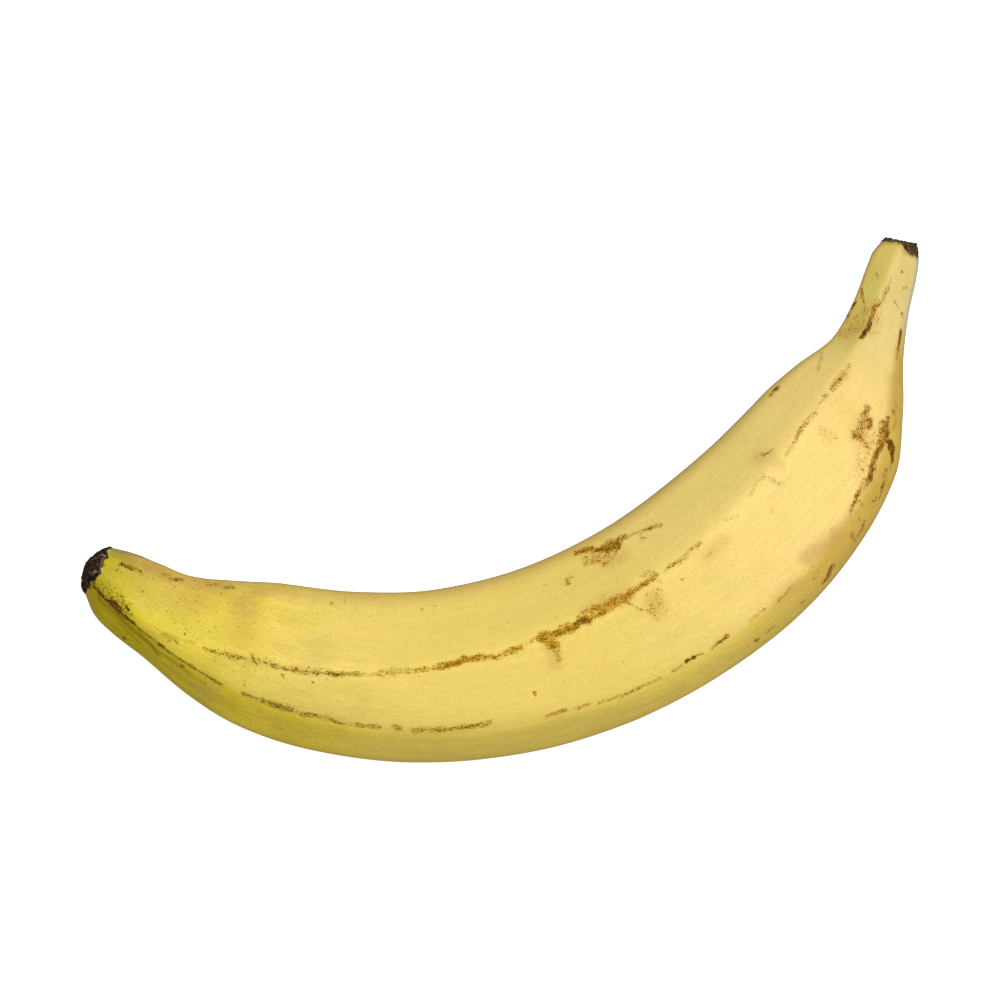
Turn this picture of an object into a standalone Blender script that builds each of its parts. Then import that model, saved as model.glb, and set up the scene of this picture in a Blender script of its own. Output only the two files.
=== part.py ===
"""A whole unpeeled plantain, lying on its side.

The fruit is one grown solid. It is modelled as a straight unit cylinder, which is then bent: every point of the
cylinder knows its share of the length, its place between two ridges and its reach from the middle, and takes its
place on the fruit from those three.

Frame: metres, +Z up, resting on z = 0, with the origin under the middle of the fruit's box. +X runs from the blossom
end to the cut stem, and +Y points to the inside of the bend.
"""

import bisect
import math

import bmesh
import bpy
import numpy as np
from mathutils import Vector, noise

NAME = "plantain"
MM = 0.001

# The mid curve, seen from above, is one circular arc.
MID_CURVE_LENGTH = 283 * MM
BEND_RADIUS = 133.8 * MM
TURN = MID_CURVE_LENGTH / BEND_RADIUS

# Half widths seen from above, in millimetres: share of the length, inner side of the bend, outer side.
GIRTH = (
    (0.00, 7.6, 7.1),
    (0.02, 9.8, 9.9),
    (0.08, 12.9, 12.9),
    (0.13, 17.2, 16.9),
    (0.18, 20.4, 20.1),
    (0.25, 21.9, 22.0),
    (0.45, 24.3, 24.5),
    (0.60, 25.5, 25.0),
    (0.70, 24.5, 24.8),
    (0.80, 21.2, 21.2),
    (0.85, 16.5, 15.7),
    (0.89, 10.6, 10.3),
    (0.93, 7.8, 7.8),
    (0.98, 6.0, 7.5),
    (1.00, 3.2, 6.4),
)

# Height of a section for its width: the belly is a little flatter than round, the ends are round.
TALLNESS = ((0.00, 1.0), (0.15, 0.97), (0.50, 0.95), (0.85, 0.97), (1.00, 1.0))

# Height of the underside over the surface, in millimetres. It touches at three places and rises to both ends.
UNDERSIDE = (
    (0.00, 7.0),
    (0.08, 2.2),
    (0.17, -0.4),
    (0.33, 0.3),
    (0.50, -0.4),
    (0.67, 0.3),
    (0.83, -0.4),
    (0.91, 2.6),
    (1.00, 8.5),
)

# The ridges, in degrees round the section from the outer side of the bend over the top: share of the length, angle.
KEEL = ((0.0, 4), (0.5, 9), (0.7, 19), (0.80, 25), (0.87, 24), (1.0, 0))
LOWER_RIDGE = ((0.0, 50), (0.03, 60), (0.10, 55), (0.30, 53), (0.50, 47), (0.70, 46), (0.82, 43), (0.92, 33), (1.0, 28))
CENTRE_RIDGE = ((0.0, 76), (0.08, 72), (0.17, 84), (0.28, 91), (0.40, 99), (0.55, 104), (0.90, 106), (1.0, 78))
INNER_RIDGE = ((0.0, 132), (0.13, 147), (0.25, 158), (0.5, 163), (0.8, 160), (0.92, 154), (1.0, 138))
INNER_FOOT = ((0.0, 222), (0.15, 235), (0.85, 235), (1.0, 216))
OUTER_FOOT = ((0.0, 308), (0.15, 305), (0.85, 305), (1.0, 300))
RIDGES = (KEEL, LOWER_RIDGE, CENTRE_RIDGE, INNER_RIDGE, INNER_FOOT, OUTER_FOOT)

# How crisp the ridges are: a higher power rounds the corners of a section less.
CRISPNESS = 16

# The dried flower scar: a rough blunt dome.
SCAR_HEIGHT = 3.3 * MM
SCAR_ROUGHNESS = 0.7 * MM
SCAR_GRAIN = 2.6 * MM

# The cut stem: a shallow dish.
CUT_DISH = 0.9 * MM

# Both ends fall back a little toward the outer side of the bend, over a short share of the length.
SCAR_SLANT = 0.10
CUT_SLANT = 0.08
SLANT_SHARE = 0.03

# Mesh: columns from each ridge to the next, rings along the length, and rings on each end.
COLUMNS = (8, 8, 9, 8, 8, 8)
LANES = [ridge + step / columns for ridge, columns in enumerate(COLUMNS) for step in range(columns)]
SIDES = len(LANES)
RINGS = 80
END_CROWDING = 0.45
CAP_RINGS = 5
CAP_INSET = 1 / (CAP_RINGS + 0.6)
OUTLINE_SAMPLES = 180

PEEL_COLOUR = (0.80, 0.62, 0.18, 1)
PEEL_ROUGHNESS = 0.48


def along(stations, share):
    """The smooth curve through stations, rows of a share and a value, at this share."""
    place = bisect.bisect_right([row[0] for row in stations], share) - 1
    place = min(max(place, 0), len(stations) - 2)
    (start, low), (stop, high) = stations[place], stations[place + 1]
    span = stop - start

    def slope(index):
        before, after = stations[max(index - 1, 0)], stations[min(index + 1, len(stations) - 1)]
        return (after[1] - before[1]) / (after[0] - before[0])

    step = (share - start) / span
    rise = low + (high - low) * step * step * (3 - 2 * step)
    lean = slope(place) * (1 - step) - slope(place + 1) * step
    return rise + span * step * (1 - step) * lean


def column(stations, index):
    """The stations of one column of a wider table."""
    return tuple((row[0], row[index]) for row in stations)


def section_radius(ridge_angles, angles):
    """Reach of a rounded polygon with corners at unit distance at ridge_angles, in each of these directions."""
    next_angles = np.append(ridge_angles[1:], ridge_angles[0] + math.tau)
    facing = (ridge_angles + next_angles) / 2
    distance = np.cos((next_angles - ridge_angles) / 2)
    toward = np.clip(np.cos(angles[:, None] - facing), 0, None) / distance
    return (toward**CRISPNESS).sum(axis=1) ** (-1 / CRISPNESS)


class Section:
    """One cross section of the fruit, at a share of its length."""

    def __init__(self, share):
        self.share = share
        self.ridge_angles = np.radians([along(ridge, share) for ridge in RIDGES])
        samples = np.linspace(0, math.tau, OUTLINE_SAMPLES, endpoint=False)
        reach = section_radius(self.ridge_angles, samples)
        across, up = reach * np.cos(samples), reach * np.sin(samples)
        inner = along(column(GIRTH, 1), share) * MM
        outer = along(column(GIRTH, 2), share) * MM
        width = inner + outer
        self.middle_across = (outer - inner) / 2
        self.scale_across = width / np.ptp(across)
        self.shift_across = (across.max() + across.min()) / 2
        self.height = width * along(TALLNESS, share)
        self.scale_up = self.height / np.ptp(up)
        self.lowest = up.min()
        self.underside = along(UNDERSIDE, share) * MM

    def angle(self, lane):
        """The direction of a lane, a number whose whole part counts the ridges and whose rest lies between two."""
        ridge = int(lane) % len(RIDGES)
        start = self.ridge_angles[ridge]
        stop = self.ridge_angles[ridge + 1] if ridge + 1 < len(RIDGES) else self.ridge_angles[0] + math.tau
        return start + (stop - start) * (lane % 1)

    def point(self, lane, reach):
        """Place across and up, on the skin where reach is 1 and nearer the middle where it is less."""
        angle = self.angle(lane)
        radius = section_radius(self.ridge_angles, np.array([angle]))[0]
        across = self.middle_across + (radius * math.cos(angle) - self.shift_across) * self.scale_across * reach
        middle_up = self.underside + self.height / 2
        skin_up = self.underside + (radius * math.sin(angle) - self.lowest) * self.scale_up
        return across, max(middle_up + (skin_up - middle_up) * reach, 0)


def place_on_fruit(share, across, up, beyond):
    """A point of the section in the part's frame. beyond shifts it along the mid curve, toward the stem."""
    heading = (share - 0.5) * TURN
    radius = BEND_RADIUS + across
    return Vector(
        (
            radius * math.sin(heading) + beyond * math.cos(heading),
            BEND_RADIUS - radius * math.cos(heading) + beyond * math.sin(heading),
            up,
        )
    )


def end_slant(share, across):
    """How far a point near an end is shifted along the mid curve, so that both ends are cut at a slant."""
    near_scar = max(1 - share / SLANT_SHARE, 0)
    near_cut = max(1 - (1 - share) / SLANT_SHARE, 0)
    return (SCAR_SLANT * near_scar - CUT_SLANT * near_cut) * across


def scar_relief(across, up, reach):
    """How far the flower scar stands out past the first ring."""
    dome = SCAR_HEIGHT * math.sqrt(1 - reach * reach)
    grain = noise.fractal(Vector((across, up, 0)) / SCAR_GRAIN, 1.0, 2.0, 3)
    return dome + SCAR_ROUGHNESS * grain * (1 - reach**4)


def cut_relief(reach):
    """How far the cut stem sinks in from its rim."""
    return CUT_DISH * (1 - reach**3)


def ring_share(ring):
    """Share of the length at a ring. The rings stand closer toward both ends."""
    step = ring / RINGS
    eased = (1 - math.cos(math.pi * step)) / 2
    return step + (eased - step) * END_CROWDING


def straight_cylinder():
    """A cylinder one unit long and of unit radius, with rings along it and smaller rings on both ends."""
    shape = bmesh.new()
    bmesh.ops.create_cone(shape, cap_ends=True, cap_tris=False, segments=SIDES, radius1=1, radius2=1, depth=1)
    long_edges = [edge for edge in shape.edges if edge.verts[0].co.z * edge.verts[1].co.z < 0]
    bmesh.ops.subdivide_edges(shape, edges=long_edges, cuts=RINGS - 1, use_grid_fill=True)
    caps = [face for face in shape.faces if len(face.verts) == SIDES]
    for _ in range(CAP_RINGS):
        bmesh.ops.inset_region(shape, faces=caps, thickness=CAP_INSET)
    bmesh.ops.poke(shape, faces=caps)
    return shape


def box_middle(shape):
    """The middle of the fruit's outline seen from above."""
    places_x = [vertex.co.x for vertex in shape.verts]
    places_y = [vertex.co.y for vertex in shape.verts]
    return Vector(((min(places_x) + max(places_x)) / 2, (min(places_y) + max(places_y)) / 2, 0))


def make_plantain():
    """The fruit as one closed mesh: the straight cylinder, with each of its points set in place on the fruit."""
    shape = straight_cylinder()
    sections = [Section(ring_share(ring)) for ring in range(RINGS + 1)]
    for vertex in shape.verts:
        straight = vertex.co.copy()
        ring = round((straight.z + 0.5) * RINGS)
        side = round(math.atan2(-straight.x, straight.y) / math.tau * SIDES) % SIDES
        reach = min(math.hypot(straight.x, straight.y), 1.0)
        section = sections[ring]
        across, up = section.point(LANES[side], reach)
        beyond = end_slant(section.share, across)
        if ring == 0:
            beyond -= scar_relief(across, up, reach)
        if ring == RINGS:
            beyond -= cut_relief(reach)
        vertex.co = place_on_fruit(section.share, across, up, beyond)
    bmesh.ops.translate(shape, vec=-box_middle(shape), verts=shape.verts)
    bmesh.ops.triangulate(shape, faces=shape.faces)
    bmesh.ops.recalc_face_normals(shape, faces=shape.faces)
    mesh = bpy.data.meshes.new(NAME)
    shape.to_mesh(mesh)
    shape.free()
    mesh.shade_smooth()
    return mesh


def peel_material():
    material = bpy.data.materials.new("peel")
    material.use_nodes = True
    finish = material.node_tree.nodes["Principled BSDF"]
    finish.inputs["Base Color"].default_value = PEEL_COLOUR
    finish.inputs["Roughness"].default_value = PEEL_ROUGHNESS
    finish.inputs["Metallic"].default_value = 0
    return material


def main():
    for thing in list(bpy.data.objects):
        bpy.data.objects.remove(thing, do_unlink=True)
    collection = bpy.data.collections.new("Plantain")
    bpy.context.scene.collection.children.link(collection)
    plantain = bpy.data.objects.new(NAME, make_plantain())
    plantain.data.materials.append(peel_material())
    collection.objects.link(plantain)


main()
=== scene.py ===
"""A whole unpeeled plantain on a pale studio floor, seen from above.

The fruit is modelled straight, as a fine cylinder with rings on both ends, and is then bent into place. Each
point knows its share of the length, its lane between two ridges and its reach from the middle, so the marks,
the fibres and the dried ends follow the peel. Lengths in tables are millimetres, and the scene is in metres.
"""

import math
import random

import bmesh
import bpy
import numpy as np
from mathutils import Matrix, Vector, noise
from mathutils.bvhtree import BVHTree


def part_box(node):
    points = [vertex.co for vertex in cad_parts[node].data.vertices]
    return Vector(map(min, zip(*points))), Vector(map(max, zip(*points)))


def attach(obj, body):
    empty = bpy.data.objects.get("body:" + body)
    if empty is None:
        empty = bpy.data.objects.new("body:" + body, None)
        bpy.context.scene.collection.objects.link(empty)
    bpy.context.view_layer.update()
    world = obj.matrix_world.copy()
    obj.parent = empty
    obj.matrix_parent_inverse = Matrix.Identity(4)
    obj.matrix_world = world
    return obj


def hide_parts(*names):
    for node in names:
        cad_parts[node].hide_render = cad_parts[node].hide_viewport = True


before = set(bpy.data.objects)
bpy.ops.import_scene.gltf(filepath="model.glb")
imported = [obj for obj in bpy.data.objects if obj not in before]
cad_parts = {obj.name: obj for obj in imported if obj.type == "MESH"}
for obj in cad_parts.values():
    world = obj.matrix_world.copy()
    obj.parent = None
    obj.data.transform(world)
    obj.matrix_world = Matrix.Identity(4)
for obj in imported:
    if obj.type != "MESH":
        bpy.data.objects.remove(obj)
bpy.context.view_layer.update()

bl_info = {
    "name": "Plantain",
    "version": (1, 0, 0),
    "blender": (4, 5, 0),
    "location": "3D View > Sidebar > Plantain",
    "description": "Builds a ripening plantain and the pale studio it lies in",
    "category": "Add Mesh",
}

MM = 0.001
TINY = 1e-9

# Half widths seen from above: share of the length, inner side of the bend, outer side.
GIRTH = (
    (0.00, 6.9, 6.8), (0.02, 9.3, 10.0), (0.045, 11.1, 11.55), (0.08, 12.5, 13.1), (0.13, 16.9, 17.2),
    (0.18, 20.4, 20.3), (0.25, 21.9, 22.3), (0.34, 22.8, 23.6), (0.45, 24.3, 24.6), (0.60, 25.4, 25.1),
    (0.70, 24.5, 24.6), (0.80, 20.9, 21.3), (0.85, 16.2, 15.3), (0.89, 10.2, 10.2), (0.93, 7.8, 7.85),
    (0.98, 5.6, 7.4), (1.00, 2.5, 6.35),
)

# Height of a section for its width, and height of its underside over the floor.
TALLNESS = ((0.00, 1.0), (0.15, 0.97), (0.50, 0.95), (0.85, 0.97), (1.00, 1.0))
UNDERSIDE = (
    (0.00, 7.0), (0.08, 2.2), (0.17, -0.4), (0.33, 0.3), (0.50, -0.4), (0.67, 0.3), (0.83, -0.4),
    (0.91, 2.6), (1.00, 8.5),
)

# The ridges, in degrees round the section from the outer side of the bend over the top.
KEEL = ((0.0, 4), (0.5, 9), (0.7, 19), (0.80, 25), (0.87, 24), (1.0, 0))
LOWER_RIDGE = (
    (0.0, 50), (0.03, 60), (0.10, 55), (0.30, 53), (0.50, 47), (0.70, 46), (0.82, 45), (0.89, 43),
    (0.94, 35), (1.0, 28),
)
CENTRE_RIDGE = (
    (0.0, 76), (0.08, 72), (0.17, 84), (0.28, 91), (0.40, 99), (0.55, 104), (0.90, 106), (1.0, 78),
)
INNER_RIDGE = ((0.0, 132), (0.13, 147), (0.25, 158), (0.5, 163), (0.8, 160), (0.92, 154), (1.0, 138))
INNER_FOOT = ((0.0, 222), (0.15, 235), (0.85, 235), (1.0, 216))
OUTER_FOOT = ((0.0, 308), (0.15, 305), (0.85, 305), (1.0, 300))
RIDGES = (KEEL, LOWER_RIDGE, CENTRE_RIDGE, INNER_RIDGE, INNER_FOOT, OUTER_FOOT)

# Directions in which the outline of each section is measured.
OUTLINE_SAMPLES = 180

# Mesh: columns from each ridge to the next, more on the side that faces up, rings along the fruit, and rings
# on each end. Columns crowd toward the ridges, and rings toward the ends. Skin reaches out past SKIN_REACH.
COLUMNS = (32, 36, 36, 24, 20, 20)
RIDGE_CROWDING = 0.5
RINGS = 520
END_CROWDING = 0.45
CAP_RINGS = 22
CAP_INSET = 1 / (CAP_RINGS + 0.6)
SKIN_REACH = 0.999

# Where the middle of the curve lies from the middle of the CAD model's box.
BEND_PLACE = (0.41, -24.21)

# The ends: the flower scar stands out as a dome, the cut stem is a shallow dish, and both lean a little.
SCAR_HEIGHT = 3.05
SCAR_LEAN = 0.03
SCAR_BLUNTNESS = 0.9
CUT_DISH = 0.9
SCAR_SLANT = 0.12
CUT_SLANT = 0.08
SLANT_SHARE = 0.03

# The photograph: real size of a pixel, the turn of the fruit in it, where its middle lies on the floor, and
# the height of the plane that its pixels are measured on.
PHOTO_SIDE = 1000
PHOTO_PIXEL = 0.27
PHOTO_TURN = math.radians(22.535)
PHOTO_MIDDLE = (-8.48, 19.79)
PHOTO_PLANE = 24.0
SENSOR_WIDTH = 36.0

# Edge of the flower scar's crust, as pixels of the photograph.
CRUST_EDGE = (
    (108.4, 551), (108.7, 557), (105.5, 560.4), (103, 565), (101, 569.3), (102.5, 574), (96.5, 579),
    (91.3, 582.7), (91.5, 588), (88.3, 589), (85.8, 593.5),
)

# How far the stem's dried rim reaches from the cut, by degrees round the section: a thin line on top, and a
# blotch toward the outer side.
STEM_RIM = (
    (0, 3.4), (30, 3.3), (50, 2.9), (62, 2.5), (72, 1.8), (80, 1.0), (90, 0.8), (120, 0.9), (145, 1.2),
    (180, 1.3), (250, 1.7), (310, 2.8), (360, 3.4),
)

# Where the crust's edge lies on the hidden side, along the straight fruit, and how much deeper inside the
# dried ends the middle of each cap is than its rim.
HIDDEN_CRUST = -0.6
CRUST_ON_CAP = 7.5
STEM_ON_CAP = 5

# Grain of the details, in layers of a size and a depth. That of the scuffs is drawn out along the fruit.
CRUST_WAVER = ((1.6, 0.35),)
STEM_WAVER = ((1.3, 0.3),)
SCUFF_WAVER = ((1.5, 0.5),)
SCUFF_STRETCH = (0.6, 1, 1)
FOLD_WARP = ((4.2, 2.3), (1.5, 0.6))
CRUST_LUMPS = ((1.8, 0.25),)
STEM_TEARS = ((1.5, 0.3), (0.7, 0.15))

# Folds of the crust: spacing, lean across the fruit, sharpness, and the level that they stand out from.
FOLD_SPACING = 1.9
FOLD_LEAN = 0.12
FOLD_SHARPNESS = 1.6
FOLD_LEVEL = 0.9

# Depths inside the dried ends between which their relief sets in.
CRUST_RISE = (-0.3, 0.6)
STEM_RISE = (-0.2, 0.4)

# The low swellings of the peel: size, levels of detail, and how they are drawn out along the fruit.
SWELL_SIZE = 13
SWELL_DETAIL = 2
SWELL_STRETCH = (0.5, 1, 1)

# Where the colours change round the fruit, in lanes counted from the outer foot: start and stop of the outer
# side, start of the greener facet, start of the duller inner side, and the stop of both.
# The outer side's colours hold painted light on the scar half and painted shade on the stem half, besides
# the peel's own tone; the greener facet holds some painted shade.
OUTER_START = (0, 0.4)
OUTER_STOP = (1.9, 2.06)
FACET_START = (2.88, 3.25)
INNER_START = (3.72, 4.05)
INNER_STOP = (5.0, 5.6)

# On the stem half the outer side, and the painted shade that it carries there, reaches this much of a lane
# further, between these shares.
OUTER_SHIFT = 0.08
OUTER_SHIFT_SHARES = (0.6, 0.8)

# How green the facet between the centre and inner ridges is, by share of the length: partly its own green,
# partly painted shade on that facet.
INNER_TINT_AND_SHADE = (
    (0.0, 0.15), (0.07, 0.40), (0.13, 0.22), (0.20, 0.0), (0.55, 0.0), (0.72, 0.22), (0.81, 0.14),
    (0.86, 0.16), (0.885, 0.36), (0.915, 0.78), (0.95, 0.60), (1.0, 0.55),
)

# How far soft patches and crests reach, as a factor of their half width.
PATCH_EDGE = 1.8
CREST_EDGE = 2.0

# A scuff is whole up to the first factor of its half width, and gone at the second and this much more.
SCUFF_CORE = 0.3
SCUFF_EDGE = 1.7
SCUFF_FRINGE = 0.45

# Radius of the round bar that the fibres are spaced on.
FIBRE_RADIUS = 25.0

# Brown scuffs as the photograph shows them: half width, cover, darkness, and pixels along the middle. Cover
# under 0.5 breaks up into specks, and 1 is solid. Darkness over 1 turns to the near black of the crust.
SCUFFS = (
    # Lower ridge, from the flower scar.
    (0.5, 0.84, 1.3, ((93, 585), (98, 591), (104, 597), (109, 601))),
    (1.1, 0.92, 1.5, ((111, 602), (115, 606), (119, 610.5))),
    (0.6, 0.76, 1.3, ((119, 611), (125, 616), (133, 623))),
    (0.42, 0.60, 1.2, ((133, 623), (139, 629), (149, 636), (154, 640))),
    (0.45, 0.90, 1.4, ((159, 644.5), (163, 647))),
    (0.4, 0.56, 1.1, ((166, 650), (170, 652.5), (182, 660.5), (191, 666),
                      (202, 673), (209, 677.5), (221, 684.5))),
    (0.5, 0.60, 0.9, ((243, 694), (247, 695), (253.5, 698))),
    (0.7, 0.46, 0.8, ((250, 697), (262, 702), (292, 711), (306, 714))),
    (0.6, 0.45, 0.8, ((306, 714), (325, 719), (345, 724), (362, 726), (380, 727))),
    (0.9, 0.62, 0.9, ((262, 701), (277, 706), (292, 710))),
    (0.8, 0.56, 0.9, ((302, 714), (315, 716), (327, 717.7), (339, 722.6))),
    (0.7, 0.58, 0.8, ((356, 724), (361, 726))),
    (0.5, 0.56, 0.7, ((371, 725.7), (377, 725))),
    (0.8, 0.56, 0.6, ((394, 727), (400, 728.5))),
    (0.95, 0.60, 0.5, ((415, 730), (428, 729.5), (442, 729))),
    (0.85, 0.59, 0.5, ((447, 729), (463, 727), (480, 725), (490, 723))),
    (0.6, 0.58, 0.7, ((548, 716), (557, 713), (565.5, 710))),
    (0.55, 0.54, 0.6, ((575, 708), (590, 705))),
    (0.5, 0.49, 0.6, ((600, 703), (625, 694), (645, 685), (660, 679))),
    (0.5, 0.60, 0.6, ((672, 671), (678, 668), (682, 665))),
    (0.4, 1.00, 0.9, ((686.3, 661.5), (687.2, 660))),
    (0.4, 1.00, 0.9, ((693.3, 658.2), (694.3, 656.8))),
    (0.4, 0.55, 0.6, ((697, 655.5), (703, 653.5))),
    (0.4, 0.60, 0.7, ((711, 648.5), (716, 645))),
    (0.5, 0.80, 0.8, ((719, 642), (722, 640), (727, 636.5))),
    (0.5, 0.42, 0.5, ((750, 620), (762, 611), (766, 608))),
    (0.5, 0.52, 0.5, ((779, 600), (792, 586))),
    # Fringe of specks over the lower ridge at the scar.
    (2.0, 0.47, 0.9, ((99, 587), (106, 592), (113, 598), (121, 605), (127, 612))),
    (1.5, 0.42, 0.7, ((96, 580), (105, 585), (111, 591), (117, 596))),
    (0.2, 0.70, 0.8, ((122.5, 596.5), (123, 598.5))),
    (0.2, 0.90, 1.1, ((126.3, 606), (127.6, 608.2), (128.6, 610))),
    (0.55, 0.78, 1.2, ((122.3, 564.5), (125.5, 566), (129, 567))),
    (0.5, 0.72, 1.1, ((129, 566.5), (132, 569), (134.5, 569))),
    (0.35, 0.60, 0.9, ((135, 568), (137.5, 570.5), (140, 571.5))),
    (0.3, 0.55, 0.5, ((117, 569.3), (117.6, 569.8))),
    (0.3, 0.50, 0.5, ((140.5, 574), (141.2, 574.6))),
    (0.15, 0.90, 1.2, ((184.7, 633.8), (185, 634.3))),
    (0.4, 0.66, 0.8, ((181, 665), (183.5, 666.8))),
    (0.4, 0.80, 0.9, ((124.2, 637.5), (124.8, 638.3))),
    (0.35, 0.60, 0.8, ((163.5, 573.6), (166, 574.4), (169, 575.2))),
    (0.35, 0.70, 1.0, ((171, 579.4), (176, 579.6), (182, 579.8))),
    (0.35, 0.68, 1.0, ((224, 587.4), (229, 587.2), (234.5, 587.6))),
    (0.4, 0.48, 0.5, ((208, 584.4), (214, 584.8), (221, 585))),
    # Centre ridge, from the left.
    (0.3, 0.54, 0.9, ((203.5, 648), (208, 649.5), (214, 651.5))),
    (0.4, 0.45, 0.9, ((206, 650), (216, 652.5), (226, 655.5))),
    (0.8, 0.48, 0.9, ((225, 654), (231, 656), (238, 657.5))),
    (0.45, 0.60, 0.9, ((240, 657), (246, 658.5))),
    (0.2, 0.62, 1.1, ((251.5, 654), (253, 658), (255.5, 663))),
    (0.2, 0.58, 1.1, ((266, 656.5), (264, 661), (267, 665))),
    (0.55, 0.57, 0.9, ((271, 665), (277, 667), (287, 669))),
    (0.8, 0.39, 0.8, ((240, 657), (252, 660), (266, 663), (292, 668), (330, 671.5))),
    (0.5, 0.42, 0.6, ((358, 674), (372, 675), (392, 673), (420, 670), (440, 667))),
    (0.75, 0.56, 0.8, ((292, 669), (300, 671), (312, 672.5), (323, 673))),
    (0.6, 0.62, 0.8, ((322, 672.6), (334, 673.6), (345.5, 673.7), (358, 673.7))),
    (1.2, 0.50, 0.7, ((382, 673.5), (387, 672), (393, 672))),
    (0.7, 0.50, 0.5, ((400, 671), (410, 670.8), (416, 671))),
    (0.68, 0.58, 0.6, ((416, 671), (427, 669), (437, 668))),
    (0.94, 0.74, 0.5, ((440, 667), (447.5, 664.5), (455, 662.5), (463, 660))),
    (0.85, 0.74, 0.55, ((463, 660), (470, 659), (477, 657.5), (486, 657))),
    (0.77, 0.62, 0.5, ((474, 660), (491, 656), (497, 658), (503, 654))),
    (0.77, 0.69, 0.5, ((503, 654), (513.5, 650), (521.6, 646.7))),
    (0.68, 0.44, 0.4, ((522, 646), (528, 643), (538, 638))),
    (1.3, 0.74, 0.45, ((541, 638), (552, 636), (560, 631.5), (569, 628.5))),
    (1.3, 0.68, 0.45, ((549, 641), (553, 646), (556, 645))),
    (0.8, 0.52, 0.4, ((556, 648), (557.5, 654), (559, 659))),
    (1.05, 0.86, 0.8, ((573, 627), (577, 624), (582, 621.3), (587, 620))),
    (0.5, 0.60, 0.8, ((578, 619), (579.5, 616))),
    (0.9, 0.54, 0.4, ((583, 612), (589, 609), (594, 606))),
    (0.8, 0.68, 0.5, ((588, 619.5), (594, 616), (601, 612.5), (606, 609))),
    (0.94, 0.66, 0.3, ((592, 611.5), (602, 606), (612, 601), (622, 597))),
    (1.0, 0.70, 0.35, ((606, 609), (615, 603.5), (624, 599), (632, 592.5))),
    (0.9, 0.66, 0.5, ((632, 592.5), (640, 587), (647, 581), (655, 575.5))),
    (0.7, 0.40, 0.4, ((641, 577), (648, 573), (653, 572))),
    (0.39, 0.43, 0.4, ((656, 580), (661, 582))),
    (0.45, 0.48, 0.7, ((665, 572), (669, 566), (675, 563))),
    (0.68, 0.56, 0.7, ((673, 564), (680, 561), (685, 557), (688, 553))),
    (0.6, 0.52, 0.6, ((688, 552), (692, 548.5), (697, 545.5), (701, 543.5))),
    (0.3, 0.61, 0.7, ((708.6, 555.8), (710.6, 552.6))),
    (0.5, 0.38, 0.4, ((726, 520), (732, 517), (738, 515))),
    (0.45, 0.40, 0.6, ((786, 454), (790, 449), (795, 441))),
    (0.7, 0.48, 0.7, ((796, 438), (801, 430), (806, 423), (810, 418), (815, 413))),
    (0.25, 0.50, 0.5, ((816, 409), (819, 403), (824, 399), (829, 394))),
    (0.32, 0.68, 0.6, ((823, 396), (825, 395.5))),
    (0.95, 0.57, 0.7, ((833, 389), (836, 384), (840, 379.5), (844, 373))),
    (0.55, 0.47, 0.6, ((841, 382), (845, 376), (848, 369), (849, 365))),
    (0.43, 0.40, 0.5, ((832, 384), (835, 379))),
    # The dense scratch inside the centre ridge, and the round patch of specks below.
    (0.85, 0.82, 0.7, ((577, 552.5), (584, 550.5), (590, 549.5), (598, 550), (604, 550))),
    (1.4, 0.88, 0.75, ((603, 549), (608, 548), (614, 546), (617, 547))),
    (1.0, 0.68, 0.6, ((607, 544), (613, 542), (620, 539), (625, 537))),
    (0.66, 0.46, 0.4, ((625, 537.5), (632, 534), (641, 532))),
    (0.6, 0.66, 0.6, ((644, 531), (649, 529.5), (654, 527), (661, 525.5))),
    (0.47, 0.44, 0.5, ((640, 536), (643, 540), (645, 537))),
    (0.75, 0.60, 0.4, ((585, 563), (593, 562), (600, 561))),
    (0.9, 0.48, 0.3, ((603, 565), (607, 562), (612, 558))),
    (1.6, 0.46, 0.3, ((588, 556), (600, 556), (610, 555))),
    (0.4, 0.74, 0.7, ((567, 579), (568, 584))),
    (0.35, 0.56, 0.6, ((567, 579), (573, 577.5))),
    (3.0, 0.43, 0.3, ((654, 600), (657, 606))),
    (1.5, 0.36, 0.3, ((650, 610), (655, 616))),
    (0.25, 0.62, 0.3, ((625, 602), (634, 606), (641, 610))),
    # Belly facets.
    (0.3, 0.80, 0.8, ((534.6, 692.4), (535.3, 693.4))),
    (0.25, 0.60, 0.6, ((565, 682.4), (565.8, 683.2))),
    (0.23, 0.52, 0.5, ((629, 606.5), (629.5, 607.5))),
    (0.26, 0.66, 0.7, ((681.6, 578.9), (682.4, 579.8))),
    (0.3, 0.55, 0.4, ((770.6, 510), (771.8, 511))),
    (0.45, 0.50, 0.5, ((756.5, 457), (762, 453), (764, 455), (768, 452), (773, 449.5))),
    (0.6, 0.38, 0.4, ((762, 474), (768, 478), (775, 483))),
    (0.5, 0.46, 0.5, ((766, 477), (772, 479), (778, 483), (784, 484))),
    (0.35, 0.42, 0.4, ((751, 494), (756, 482), (762, 478))),
    (2.3, 0.36, 0.2, ((824, 432), (829, 438))),
    # Reddish patch and the strong streak on the lower ridge, right half.
    (1.3, 0.60, 0.6, ((855, 436), (860, 430), (864, 424))),
    (2.2, 0.46, 0.6, ((861, 433), (864, 426), (866, 419))),
    (0.75, 0.78, 0.5, ((854, 434), (857, 437), (860, 436))),
    (0.75, 0.70, 0.45, ((862, 424), (865, 415), (868, 407))),
    (0.6, 0.80, 0.9, ((869, 428), (870.5, 424), (871, 420))),
    (0.5, 0.62, 0.6, ((859, 437), (863, 441), (867, 446))),
    (2.4, 0.33, 0.6, ((868, 446), (867, 458), (861, 470))),
    (1.4, 0.40, 0.5, ((876, 432), (872, 440), (869, 448))),
    (0.5, 0.86, 0.8, ((888, 417), (887, 424), (886, 432))),
    (1.5, 0.68, 0.5, ((885.5, 424), (883, 434), (880, 443))),
    (0.8, 0.84, 0.7, ((887, 432), (885.5, 438), (882, 445), (877.5, 452))),
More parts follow.
